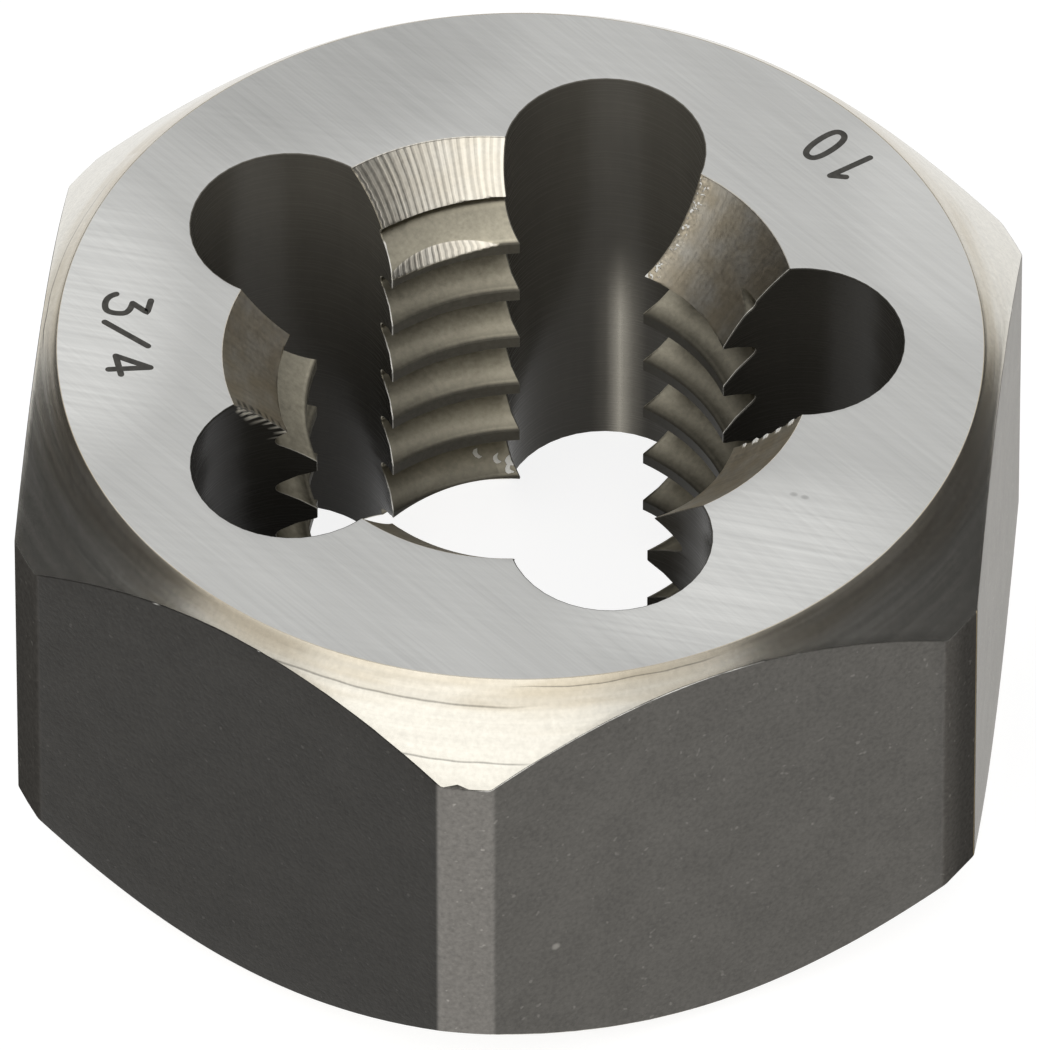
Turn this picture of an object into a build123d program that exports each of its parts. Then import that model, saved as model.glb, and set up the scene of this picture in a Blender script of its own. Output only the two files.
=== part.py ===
from build123d import *
import math
import os

# Hexagon rethreading die, one piece of tool steel, with a left-hand thread of 3/4 inch, 10 to the inch.
# Millimetres, +Z up, origin at the centre of the bottom face. The corners of the hexagon lie on the X axis.
# Five round flutes break the thread into five lands, and each land has a relieved lead on both faces.

INCH = 25.4

# Hexagon and faces
across_flats = 36.2
thickness = 19.2
corner_radius = 20.385
top_face_radius = 17.41
bottom_face_radius = 17.41
edge_chamfer_angle = 45.0

# Thread, 60 degree form
thread_major_diameter = 0.75 * INCH
thread_pitch = INCH / 10
thread_form_angle = 60.0
pitch_line_share = 3 / 8  # of the height of the sharp V, from the major radius inwards
bore_diameter = 16.1
groove_height_at_x_axis = 0.39

# Flutes, the first one at flute_start_angle from the X axis
flute_count = 5
flute_diameter = 7.58
flute_centre_radius = 10.605
flute_start_angle = 36.25

# Lead on each land: a cone beside the axis, so that the land falls away behind its cutting edge
front_lead_radius = 8.24
back_lead_radius = 8.44
lead_cone_offset = 3.00
lead_turn_angle = 9.0
lead_half_angle = 43.8
lead_depth = 4.2

# How far a cutter runs past the surface that it opens
overrun = 0.5


def around(radius, angle, height):
    """A place at a radius and an angle in degrees round the axis."""
    return Pos(radius * math.cos(math.radians(angle)), radius * math.sin(math.radians(angle)), height)


def land_angles():
    """The middle of each land, halfway between two flutes."""
    spacing = 360 / flute_count
    return [flute_start_angle + (i - 0.5) * spacing for i in range(flute_count)]


def outer_blank():
    """The hexagon bar with its corners turned round and both ends chamfered."""
    chamfer_slope = math.tan(math.radians(edge_chamfer_angle))
    top_chamfer = (corner_radius - top_face_radius) / chamfer_slope
    bottom_chamfer = (corner_radius - bottom_face_radius) / chamfer_slope
    bottom_rim = (bottom_face_radius, 0, 0)
    bottom_corner = (corner_radius, 0, bottom_chamfer)
    top_corner = (corner_radius, 0, thickness - top_chamfer)
    top_rim = (top_face_radius, 0, thickness)
    # The two chamfer lines are straight splines, so that the edges they cut on the flats are splines too
    half_section = [
        Line((0, 0, 0), bottom_rim),
        Spline(bottom_rim, bottom_corner),
        Line(bottom_corner, top_corner),
        Spline(top_corner, top_rim),
        Line(top_rim, (0, 0, thickness)),
        Line((0, 0, thickness), (0, 0, 0)),
    ]
    turned = revolve(make_face(half_section), Axis.Z, 360)
    hexagon = RegularPolygon(across_flats / 2, 6, major_radius=False)
    return turned & extrude(hexagon, thickness)


def flute_cutters():
    """The round chip spaces that open into the bore."""
    spacing = 360 / flute_count
    cutter = Cylinder(flute_diameter / 2, thickness + 2 * overrun)
    return [
        around(flute_centre_radius, flute_start_angle + i * spacing, thickness / 2) * cutter
        for i in range(flute_count)
    ]


def groove_arc():
    """One stretch of the left-hand V groove, from flute centre to flute centre, about the X axis."""
    flank_slope = math.tan(math.radians(thread_form_angle / 2))
    sharp_height = thread_pitch / (2 * flank_slope)
    major_radius = thread_major_diameter / 2
    pitch_radius = major_radius - pitch_line_share * sharp_height
    inner_radius = bore_diameter / 2 - overrun / 2
    root_half = thread_pitch / 4 - (major_radius - pitch_radius) * flank_slope
    mouth_half = thread_pitch / 4 + (pitch_radius - inner_radius) * flank_slope
    spacing = 360 / flute_count
    rise = thread_pitch * spacing / 360
    start = -rise / 2
    path = Helix(thread_pitch, rise, pitch_radius, center=(0, 0, start), lefthand=True)
    section = Polyline(
        (inner_radius, 0, start - mouth_half),
        (major_radius, 0, start - root_half),
        (major_radius, 0, start + root_half),
        (inner_radius, 0, start + mouth_half),
        (inner_radius, 0, start - mouth_half),
    )
    return Rot(0, 0, spacing / 2) * sweep(make_face(section), path=path, is_frenet=True)


def thread_cutters():
    """The groove arcs of every land, one pitch apart, from below the bottom face to above the top one."""
    arc = groove_arc()
    cutters = []
    for land in land_angles():
        lowest = (groove_height_at_x_axis - thread_pitch * land / 360) % thread_pitch - thread_pitch
        for turn in range(math.ceil(thickness / thread_pitch) + 2):
            cutters.append(Pos(0, 0, lowest + turn * thread_pitch) * Rot(0, 0, land) * arc)
    return cutters


def lead_cone(radius_at_face):
    """The cutter of one lead, its wide end up, with the face of the die at height zero."""
    slope = math.tan(math.radians(lead_half_angle))
    wide = radius_at_face + overrun * slope
    narrow = radius_at_face - lead_depth * slope
    height = lead_depth + overrun
    return Pos(0, 0, overrun - height / 2) * Cone(narrow, wide, height)


def lead_cutters():
    """One cone for each land and each face, turned towards the heel of the land."""
    front = lead_cone(front_lead_radius)
    back = Rot(180, 0, 0) * lead_cone(back_lead_radius)
    cutters = []
    for land in land_angles():
        cutters.append(around(lead_cone_offset, land + lead_turn_angle, thickness) * front)
        cutters.append(around(lead_cone_offset, land - lead_turn_angle, 0) * back)
    return cutters


def die_body():
    """The whole die: the bored blank, its flutes, the thread on the lands, and the leads."""
    body = outer_blank() - Pos(0, 0, thickness / 2) * Cylinder(bore_diameter / 2, thickness + 2 * overrun)
    body -= flute_cutters()
    body -= thread_cutters()
    body -= lead_cutters()
    return body


os.makedirs("parts", exist_ok=True)
export_step(die_body(), "parts/die_body.step")
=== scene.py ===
"""Looks of a hexagonal rethreading die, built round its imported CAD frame.

The die is one closed surface worked out with numpy: columns run round it, and rows run up the bore and
the flutes, out over the front face, down the outside and back in under the back face. The thread, the
relieved leads, the rounded edges and the wear are all part of that one surface. A second piece holds the
etched size numbers of the front face.
"""

from __future__ import annotations

import logging
import math
from collections.abc import Sequence
from dataclasses import dataclass, field
from enum import Enum

import bpy
import numpy as np
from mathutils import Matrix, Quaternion, Vector

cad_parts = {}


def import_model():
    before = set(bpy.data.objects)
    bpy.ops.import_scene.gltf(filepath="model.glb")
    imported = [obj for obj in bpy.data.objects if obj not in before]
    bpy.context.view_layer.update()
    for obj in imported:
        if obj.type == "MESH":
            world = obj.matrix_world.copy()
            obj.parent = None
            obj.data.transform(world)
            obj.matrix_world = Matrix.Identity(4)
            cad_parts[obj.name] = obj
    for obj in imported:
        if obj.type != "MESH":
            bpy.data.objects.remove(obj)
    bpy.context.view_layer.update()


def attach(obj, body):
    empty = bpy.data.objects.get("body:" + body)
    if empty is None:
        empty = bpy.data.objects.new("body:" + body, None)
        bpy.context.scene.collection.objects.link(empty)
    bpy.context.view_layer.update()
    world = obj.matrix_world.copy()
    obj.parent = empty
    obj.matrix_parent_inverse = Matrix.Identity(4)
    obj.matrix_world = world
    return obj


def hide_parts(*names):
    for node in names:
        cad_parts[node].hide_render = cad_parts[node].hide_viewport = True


MM = 0.001
SHARP_ANGLE = math.radians(28.0)
log = logging.getLogger("die")

Colour = tuple[float, float, float]
Pairs = tuple[tuple[float, float], ...]
Grid = tuple[np.ndarray, np.ndarray, np.ndarray]

# The facts that the mesh keeps on its points for the finishes, with their values away from the lands.
# over: how much deeper the lead cuts than the thread, in millimetres. across: 0 to 1 over a land. depth: 0
# at a thread's crest and 1 at its root. edge: strength of the painted highlight on a cutting edge or a rim
# of the bore, and of the rubbed bright steel along the outer edges. tone: painted light and shade on each
# land and flute. The stripe on one flute's wall is a painted reflection of the floor. The others are
# strengths of patterns.
FACTS = ("over", "across", "depth", "edge", "chatter", "tone", "floor_reflection", "burr", "torn")
RESTS = dict.fromkeys(FACTS, 0.0) | {"over": -1.0, "tone": 1.0}


class Zone(Enum):
    """The kinds of surface on the die, in the order of its material slots."""

    GROUND_FACE = 0
    TURNED_CHAMFER = 1
    HEX_FLAT = 2
    FLUTE_WALL = 3
    CUT_LAND = 4


# Small numeric helpers


def smooth_max(a: np.ndarray, b: np.ndarray, k: float) -> np.ndarray:
    """The larger of two values, with the kink where they meet rounded over a difference of k.

    Formula: the maximum plus h squared over 4k, where h is k less the difference, and at least 0.

    Args:
        a: First values.
        b: Second values.
        k: Difference within which the kink is rounded.

    Returns:
        The rounded maximum.
    """
    h = np.maximum(k - np.abs(a - b), 0.0)
    return np.maximum(a, b) + h * h / (4.0 * k)


def smooth_min(a: np.ndarray, b: np.ndarray, k: float) -> np.ndarray:
    """The smaller of two values with a rounded kink: the rounded maximum of the negatives, negated."""
    return -smooth_max(-a, -b, k)


def ease(x: np.ndarray) -> np.ndarray:
    """A smooth step from 0 to 1: x squared times (3 - 2x), with x held between 0 and 1."""
    x = np.clip(x, 0.0, 1.0)
    return x * x * (3.0 - 2.0 * x)


def wander(x: np.ndarray, seed: int, waves: int = 7, lowest: float = 1.0) -> np.ndarray:
    """A smooth irregular line between about -1 and 1, as a sum of sines of rising pitch.

    Args:
        x: Where to read it.
        seed: Picks the phases and pitches.
        waves: Number of sines.
        lowest: Pitch of the slowest sine, in radians for each unit of x.

    Returns:
        The line's value at each x.
    """
    rng = np.random.default_rng(seed)
    total = np.zeros_like(np.asarray(x, float))
    for n in range(waves):
        pitch = lowest * 1.6**n * rng.uniform(0.8, 1.2)
        total += np.sin(x * pitch + rng.uniform(0, 2 * math.pi)) / (1.0 + 0.35 * n)
    return total / 2.2


def polar(radius: np.ndarray, angle: np.ndarray) -> tuple[np.ndarray, np.ndarray]:
    """x and y of the points at a distance from the axis and an angle in degrees."""
    turn = np.radians(angle)
    return radius * np.cos(turn), radius * np.sin(turn)


def away(angle: np.ndarray, middle: float) -> np.ndarray:
    """Degrees from a middle to an angle, between -180 and 180."""
    return (angle - middle + 180.0) % 360.0 - 180.0


def at_rest(like: np.ndarray) -> dict[str, np.ndarray]:
    """The facts of points away from the lands, on a grid of the same shape as the one given."""
    return {name: np.full_like(like, rest) for name, rest in RESTS.items()}


def placed(name: str, data: bpy.types.ID) -> bpy.types.Object:
    """A new object round a mesh, a lamp or a camera, linked to the scene."""
    obj = bpy.data.objects.new(name, data)
    bpy.context.scene.collection.objects.link(obj)
    return obj


@dataclass(frozen=True)
class DieSizes:
    """Real sizes of the die, in millimetres and degrees, the same as those of its solid."""

    across_flats: float = 36.2
    thickness: float = 19.2
    corner_radius: float = 20.385
    face_radius: float = 17.41
    major_radius: float = 9.525
    minor_radius: float = 8.05
    pitch: float = 2.54
    root_half: float = 2.54 / 16
    flank_slope: float = math.tan(math.radians(30.0))
    groove_height: float = 0.39
    flute_count: int = 5
    flute_radius: float = 3.79
    flute_distance: float = 10.605
    flute_start: float = 36.25
    front_lead_radius: float = 8.24
    back_lead_radius: float = 8.44
    lead_offset: float = 3.0
    lead_turn: float = 9.0
    lead_half_angle: float = 43.8

    @property
    def spacing(self) -> float:
        """Degrees from one flute to the next."""
        return 360.0 / self.flute_count

    def land_angle(self, land: int) -> float:
        """Middle of a land, halfway between two flutes, in degrees."""
        return self.flute_start + (land - 0.5) * self.spacing

    def flute_angle(self, flute: int) -> float:
        """Middle of the flute that follows a land of the same number, in degrees."""
        return self.flute_start + flute * self.spacing


@dataclass(frozen=True)
class EdgeWear:
    """How sharp the die's edges are, in millimetres."""

    rim: float = 0.045
    cutting: float = 0.042
    crest: float = 0.035
    root: float = 0.26
    lead: float = 0.04
    hexagon: float = 0.04
    upright: float = 0.05
    face: float = 0.03


@dataclass
class BoreForm:
    """The inside of the die: the distance from the axis to the land at any angle and height."""

    sizes: DieSizes
    wear: EdgeWear
    end_guess: float = 18.0
    end_rounds: int = 6

    def groove_centre(self, theta: np.ndarray) -> np.ndarray:
        """Height of a groove's middle at an angle: the left-hand helix falls as the angle grows."""
        return self.sizes.groove_height - self.sizes.pitch * theta / 360.0

    def thread(self, theta: np.ndarray, z: np.ndarray) -> np.ndarray:
        """Radius of the thread alone.

        Formula: q is the height above the nearest groove's middle. The flank's radius is the major radius
        less (q beyond the root flat) over the tangent of 30 degrees, and the result is held between the
        minor and the major radius. The kink at the root is rounded over the whole root.

        Args:
            theta: Angles in degrees.
            z: Heights in millimetres.

        Returns:
            Radii in millimetres.
        """
        s = self.sizes
        q = (z - self.groove_centre(theta) + s.pitch / 2) % s.pitch - s.pitch / 2
        flank = s.major_radius - (np.abs(q) - s.root_half) / s.flank_slope
        return smooth_max(smooth_min(flank, s.major_radius, self.wear.root), s.minor_radius, self.wear.crest)

    def lead(self, theta: np.ndarray, z: np.ndarray, land: int, front: bool) -> np.ndarray:
        """Radius of one land's lead, a cone whose axis lies beside the die's axis.

        Formula: the cone's circle at this depth has radius r and its centre is e from the axis, at an
        angle d away from theta. The ray from the axis meets it at e cos d + root(r squared - (e sin d)
        squared).

        Args:
            theta: Angles in degrees.
            z: Heights in millimetres.
            land: Number of the land.
            front: True for the front face's lead, False for the back face's.

        Returns:
            Radii in millimetres.
        """
        s = self.sizes
        depth = s.thickness - z if front else z
        start = s.front_lead_radius if front else s.back_lead_radius
        turn = s.lead_turn if front else -s.lead_turn
        r = np.maximum(start - depth * math.tan(math.radians(s.lead_half_angle)), 0.0)
        d = np.radians(theta - s.land_angle(land) - turn)
        inside = np.maximum(r * r - (s.lead_offset * np.sin(d)) ** 2, 0.0)
        return s.lead_offset * np.cos(d) + np.sqrt(inside)

    def leads(self, theta: np.ndarray, z: np.ndarray, land: int) -> np.ndarray:
        """Radius of whichever of a land's two leads cuts deeper."""
        return np.maximum(self.lead(theta, z, land, True), self.lead(theta, z, land, False))

    def radius(self, theta: np.ndarray, z: np.ndarray, land: int) -> np.ndarray:
        """Radius of the land: the thread or the lead, whichever cuts deeper, with a rounded kink."""
        return smooth_max(self.thread(theta, z), self.leads(theta, z, land), self.wear.lead)

    def land_end(self, z: np.ndarray, land: int, high: bool) -> tuple[np.ndarray, np.ndarray]:
        """Where a land's surface runs into a flute, found by repeating the flute's formula.

        Formula: at a radius R the flute's circle stands at acos((R squared + d squared - f squared) over
        2 R d) from the flute's own angle, with d the flute's distance and f its radius.

        Args:
            z: Heights of the rows in millimetres.
            land: Number of the land.
            high: True for the end at the larger angle.

        Returns:
            Angles in degrees and radii in millimetres of the end at each row.
        """
        s = self.sizes
        flute = s.flute_angle(land if high else land - 1)
        side = -1.0 if high else 1.0
        theta = np.full_like(z, flute + side * self.end_guess)
        radius = self.radius(theta, z, land)
        for _ in range(self.end_rounds):
            cosine = (radius**2 + s.flute_distance**2 - s.flute_radius**2) / (2 * radius * s.flute_distance)
            theta = flute + side * np.degrees(np.arccos(np.clip(cosine, -1.0, 1.0)))
            radius = self.radius(theta, z, land)
        return theta, radius

    def flute_turn(self, radius: np.ndarray) -> np.ndarray:
        """Radians round the flute's centre, from its outermost line, at a distance from the die's axis."""
        distance, own = self.sizes.flute_distance, self.sizes.flute_radius
        cosine = (radius**2 - distance**2 - own**2) / (2 * distance * own)
        return np.arccos(np.clip(cosine, -1.0, 1.0))


@dataclass
class BoreGrid:
    """Rows and columns of the inside surface, from just above the back face to just below the front."""

    form: BoreForm
    dense_step: float = 0.045
    dense_depth: float = 3.45
    sheared_from: float = 1.15
    root_breaks: tuple[float, ...] = (0.05, 0.13, 0.21, 0.3)
    land_half: float = 18.6
    natural_land: float = 31.2
    natural_flute: float = 39.6
    crowding: float = 0.1
    land_columns: tuple[int, ...] = (26, 26, 76, 26, 26)
    flute_side_columns: int = 5
    flute_middle_columns: int = 21
    flute_join: float = math.radians(84.0)
    chatter: tuple[float, ...] = (0.15, 0.12, 1.0, 0.15, 0.2)
    chip_sizes: tuple[float, ...] = (-0.2, 0.05, 0.06, 0.12, 0.05)
    chip_steps: tuple[float, ...] = (0.44, 0.27, 0.27, 0.27, 0.27)
    broken_from: tuple[float, ...] = (0.95, 0.93, 0.93, 0.93, 0.93)
    # Painted light and shade, as factors on the colour: on each land's thread flanks and lead, running from
    # one end of the land to the other, darker on its crests, and on each flute's wall from its foot to its
    # top.
    flank_shading: Pairs = ((1.1, 1.1), (0.8, 1.05), (1.25, 0.95), (1.05, 1.05), (0.8, 0.8))
    crest_shading: tuple[float, ...] = (0.3, 0.14, 0.27, 0.3, 0.4)
    lead_shading: Pairs = ((1.5, 1.5), (0.52, 1.02), (1.25, 1.1), (1.15, 1.15), (1.0, 1.0))
    glints: Pairs = ((0.0, 0.5), (1.0, 0.0), (0.5, 1.0), (0.0, 0.5), (0.0, 0.0))
    flute_shading: Pairs = ((0.36, 0.36), (0.9, 1.08), (0.4, 1.1), (0.25, 0.25), (0.5, 0.45))
    # The flute whose wall carries a painted reflection of the floor.
    reflecting_flute: int = 1
    burred_land: int = 0
    back_land: int = 2
    torn_land: int = 3
    torn_width: float = 0.42
    chip_from: float = 0.92
    chip_over: float = 0.08
    teeth_depth: float = 2.6
    crest_depth: float = 0.12
    # Painted highlight on the back land's cutting edge: fading out towards the thread root, and weaker on
    # the lead.
    glint_depth: float = 0.95
    glint_on_lead: float = 0.6
    # Where that painted reflection runs up the wall.
    stripe_turn: float = 0.13
    stripe_width: float = 0.13
    stripe_top: float = 11.0

    def row_breaks(self, land: int) -> np.ndarray:
        """Heights at a land's middle where a row has to lie: the corners of every groove and the ends."""
        s, wear = self.form.sizes, self.form.wear
        mouth = s.root_half + (s.major_radius - s.minor_radius) * s.flank_slope
        crest = wear.crest * s.flank_slope
        halfway = (mouth + self.root_breaks[-1]) / 2
        offsets = [*self.root_breaks, halfway, mouth - crest, mouth + crest]
        offsets = np.array(sorted([-x for x in offsets] + offsets))
        centre = float(self.form.groove_centre(np.array(s.land_angle(land))))
        turns = np.arange(-2, 12)
        found = (centre + turns[:, None] * s.pitch + offsets[None, :]).ravel()
        low, high = wear.rim, s.thickness - wear.rim
        inner = found[(found > low + self.sheared_from) & (found < high - self.sheared_from)]
        return np.concatenate([[low], inner, [high]])

    def rows(self) -> list[np.ndarray]:
        """Row heights of every land, the same number on each: dense in the leads, sparse between them."""
        s = self.form.sizes
        breaks = [self.row_breaks(k) for k in range(s.flute_count)]
        parts = []
        for line in breaks:
            gap, middle = np.diff(line), (line[1:] + line[:-1]) / 2
            near = np.minimum(middle, s.thickness - middle) < self.dense_depth
            parts.append(np.where(near, np.ceil(gap / self.dense_step), 1).astype(int))
        most = max(int(p.sum()) for p in parts)
        made = []
        for line, count in zip(breaks, parts):
            gap = np.diff(line)
            while count.sum() < most:
                count[np.argmax(gap / count)] += 1
            pieces = [np.linspace(a, b, n, endpoint=False) for a, b, n in zip(line[:-1], line[1:], count)]
            made.append(np.concatenate(pieces + [line[-1:]]))
        return made

    def shear(self, z: np.ndarray) -> np.ndarray:
        """How far a row follows the helix: not at all at the faces, and fully below the leads' mouths."""
        edge = np.minimum(z, self.form.sizes.thickness - z)
        return ease((edge - self.form.wear.rim) / (self.sheared_from - self.form.wear.rim))

    def fall(self, z: np.ndarray) -> np.ndarray:
        """Rise of a row for each degree round the axis, below 0 where it follows the helix."""
        return -self.form.sizes.pitch / 360.0 * self.shear(z)

    def land_ends(self, land: int, z_middle: np.ndarray) -> tuple[tuple[np.ndarray, np.ndarray], ...]:
        """Angles and radii of a land's two ends, the one at the smaller angle first."""
        fall = self.fall(z_middle) * self.land_half
        low = self.form.land_end(z_middle - fall, land, False)
        return low, self.form.land_end(z_middle + fall, land, True)

    def land(self, land: int, z_middle: np.ndarray) -> dict[str, np.ndarray]:
        """Points and facts of one land.

        Formula: a row's height is its height at the land's middle plus the helix's fall from there, and a
        column's angle runs between the two flutes, which the row's own radius sets.

        Args:
            land: Number of the land.
            z_middle: Row heights at the land's middle.

        Returns:
            Arrays of rows by columns: x, y, z, natural angle, and the facts that the finishes read.
        """
        s, wear = self.form.sizes, self.form.wear
        middle = s.land_angle(land)
        (low, low_r), (high, high_r) = self.land_ends(land, z_middle)
        low = low + np.degrees(wear.cutting / low_r)
        high = high - np.degrees(wear.cutting / high_r)
        step = np.linspace(0.0, 1.0, self.land_columns[land])
        step = step - self.crowding * np.sin(2 * math.pi * step)
        theta = low[:, None] + (high - low)[:, None] * step[None, :]
        chipped = np.degrees(self.chips(z_middle, land) / high_r)
        theta = theta - chipped[:, None] * ease((step - self.chip_from) / self.chip_over)[None, :]
        z = z_middle[:, None] + self.fall(z_middle)[:, None] * (theta - middle)
        radius = self.form.radius(theta, z, land)
        over = self.form.leads(theta, z, land) - self.form.thread(theta, z)
        depth = (radius - s.minor_radius) / (s.major_radius - s.minor_radius)
        angle = np.broadcast_to(middle + (step[None, :] - 0.5) * self.natural_land, theta.shape)
        across = np.broadcast_to(step[None, :], theta.shape)
        # Painted highlights on the land's two cutting edges; on the back land they fade out towards the root
        # and are weaker on the lead.
        edge = np.zeros_like(theta)
        edge[:, 0], edge[:, -1] = self.glints[land]
        if land == self.back_land:
            edge *= np.where(over > 0.0, self.glint_on_lead, 1.0) * ease((self.glint_depth - depth) / 0.2)
        x, y = polar(radius, theta)
        # Painted shade on the crests, and painted light and shade on the flanks and leads, running across
        # the land.
        crest = 1.0 - (1.0 - self.crest_shading[land]) * ease((self.crest_depth - depth) / 0.1)
        lead_tone, flank_tone = (
            start + (end - start) * across for start, end in (self.lead_shading[land], self.flank_shading[land])
        )
        facts = at_rest(theta) | {"over": over, "across": across, "depth": depth, "edge": edge}
        facts["chatter"] = np.full_like(theta, self.chatter[land])
        facts["tone"] = np.where(over > 0.0, lead_tone, flank_tone * crest)
        broken = ease((across - self.broken_from[land]) / 0.03) * self.tips(z_middle, land)[:, None]
        if land == self.burred_land:
            facts["burr"] = broken
        if land == self.torn_land:
            facts["torn"] = broken
        return {"x": x, "y": y, "z": z, "angle": angle, **facts}

    def teeth(self, z: np.ndarray, land: int) -> np.ndarray:
        """Row by row, 0 to 1: the uneven teeth that the wheel leaves along the trailing edge of a lead."""
        depth = self.form.sizes.thickness - z
        teeth = np.abs((depth / self.chip_steps[land] + 0.15 * wander(depth, 11 + land)) % 1.0 - 0.5) * 2.0
        rough = np.clip(0.75 + 0.35 * wander(depth, 31 + land, 6, 4.0), 0.2, 1.0)
        return teeth * rough * ease((self.teeth_depth - depth) / 0.3) * ease(depth / 0.3)

    def tips(self, z: np.ndarray, land: int) -> np.ndarray:
        """The tips of those teeth alone, 0 below a strength of 0.3 and 1 above 0.5."""
        return ease((self.teeth(z, land) - 0.3) / 0.2)

    def chips(self, z: np.ndarray, land: int) -> np.ndarray:
        """How far those teeth are broken back from the edge, or stand over it as a burr, in millimetres."""
        return self.chip_sizes[land] * self.teeth(z, land)

    def flute(
        self,
        flute: int,
        before: dict[str, np.ndarray],
        after: dict[str, np.ndarray],
        before_r: np.ndarray,
        after_r: np.ndarray,
    ) -> dict[str, np.ndarray]:
        """Points of one flute's wall, from the land before it to the land after it.

        Formula: a point stands on the flute's circle, turned from its outermost line by an angle. The side
        columns take up the thread's teeth, and the middle columns are straight lines up the wall.

        Args:
            flute: Number of the flute.
            before: Points and facts of the land before it.
            after: Points and facts of the land after it.
            before_r: Distances from the axis at the end of the land before it.
            after_r: The same at the start of the land after it.

        Returns:
            Arrays of rows by columns, as land() gives them.
        """
        s, wear = self.form.sizes, self.form.wear
        step = wear.cutting / s.flute_radius
        first = -(self.form.flute_turn(before_r) - step)
        last = self.form.flute_turn(after_r) - step
        join, n = self.flute_join, self.flute_side_columns
        share = np.linspace(0.0, 1.0, n + 1)[:-1]
        left = first[:, None] + (-join - first)[:, None] * share[None, :]
        right = (last[:, None] + (join - last)[:, None] * share[None, :])[:, ::-1]
        middle = np.linspace(-join, join, self.flute_middle_columns)
        middle = np.broadcast_to(middle, (len(first), len(middle)))
        turn = np.concatenate([left, middle, right], axis=1)
        along = np.linspace(0.0, 1.0, turn.shape[1])
        start_z, end_z = before["z"][:, -1:], after["z"][:, :1]
        z = start_z + (end_z - start_z) * ease(along)[None, :]
        centre = math.radians(s.flute_angle(flute))
        x = s.flute_distance * math.cos(centre) + s.flute_radius * np.cos(centre + turn)
        y = s.flute_distance * math.sin(centre) + s.flute_radius * np.sin(centre + turn)
        natural = s.flute_angle(flute) + (along[None, :] - 0.5) * self.natural_flute
        angle = np.broadcast_to(natural, turn.shape)
        # Painted light and shade up the flute's wall, from its foot to its top.
        foot, top = self.flute_shading[flute]
        facts = at_rest(turn) | {"tone": foot + (top - foot) * z / s.thickness}
        facts["edge"][:, 0], facts["edge"][:, -1] = before["edge"][:, -1], after["edge"][:, 0]
        if flute == self.torn_land:
            width = (turn - turn[:, :1]) * s.flute_radius
            facts["torn"] = ease((self.torn_width - width) / 0.15) * self.tips(z + 0.9 * width, flute)
        # A painted reflection of the floor: a stripe up one flute's wall, fading out higher up.
        if flute == self.reflecting_flute:
            stripe = np.exp(-(((turn - self.stripe_turn) / self.stripe_width) ** 2))
            facts["floor_reflection"] = stripe * ease((self.stripe_top - z) / 5.0)
        return {"x": x, "y": y, "z": z, "angle": angle, **facts}

    def build(self) -> tuple[dict[str, np.ndarray], np.ndarray]:
        """The whole inside surface.

        Returns:
            The arrays of rows by columns, and for each column whether it belongs to a flute's wall.
        """
        s = self.form.sizes
        rows = self.rows()
        lands = [self.land(k, rows[k]) for k in range(s.flute_count)]
        ends = [self.land_ends(k, rows[k]) for k in range(s.flute_count)]
        blocks, is_flute = [], []
        for k in range(s.flute_count):
            after = (k + 1) % s.flute_count
            wall = self.flute(k, lands[k], lands[after], ends[k][1][1], ends[after][0][1])
            blocks += [lands[k], wall]
            is_flute += [np.zeros(lands[k]["x"].shape[1], bool), np.ones(wall["x"].shape[1], bool)]
        joined = {name: np.concatenate([b[name] for b in blocks], axis=1) for name in blocks[0]}
        return joined, np.concatenate(is_flute)


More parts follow.
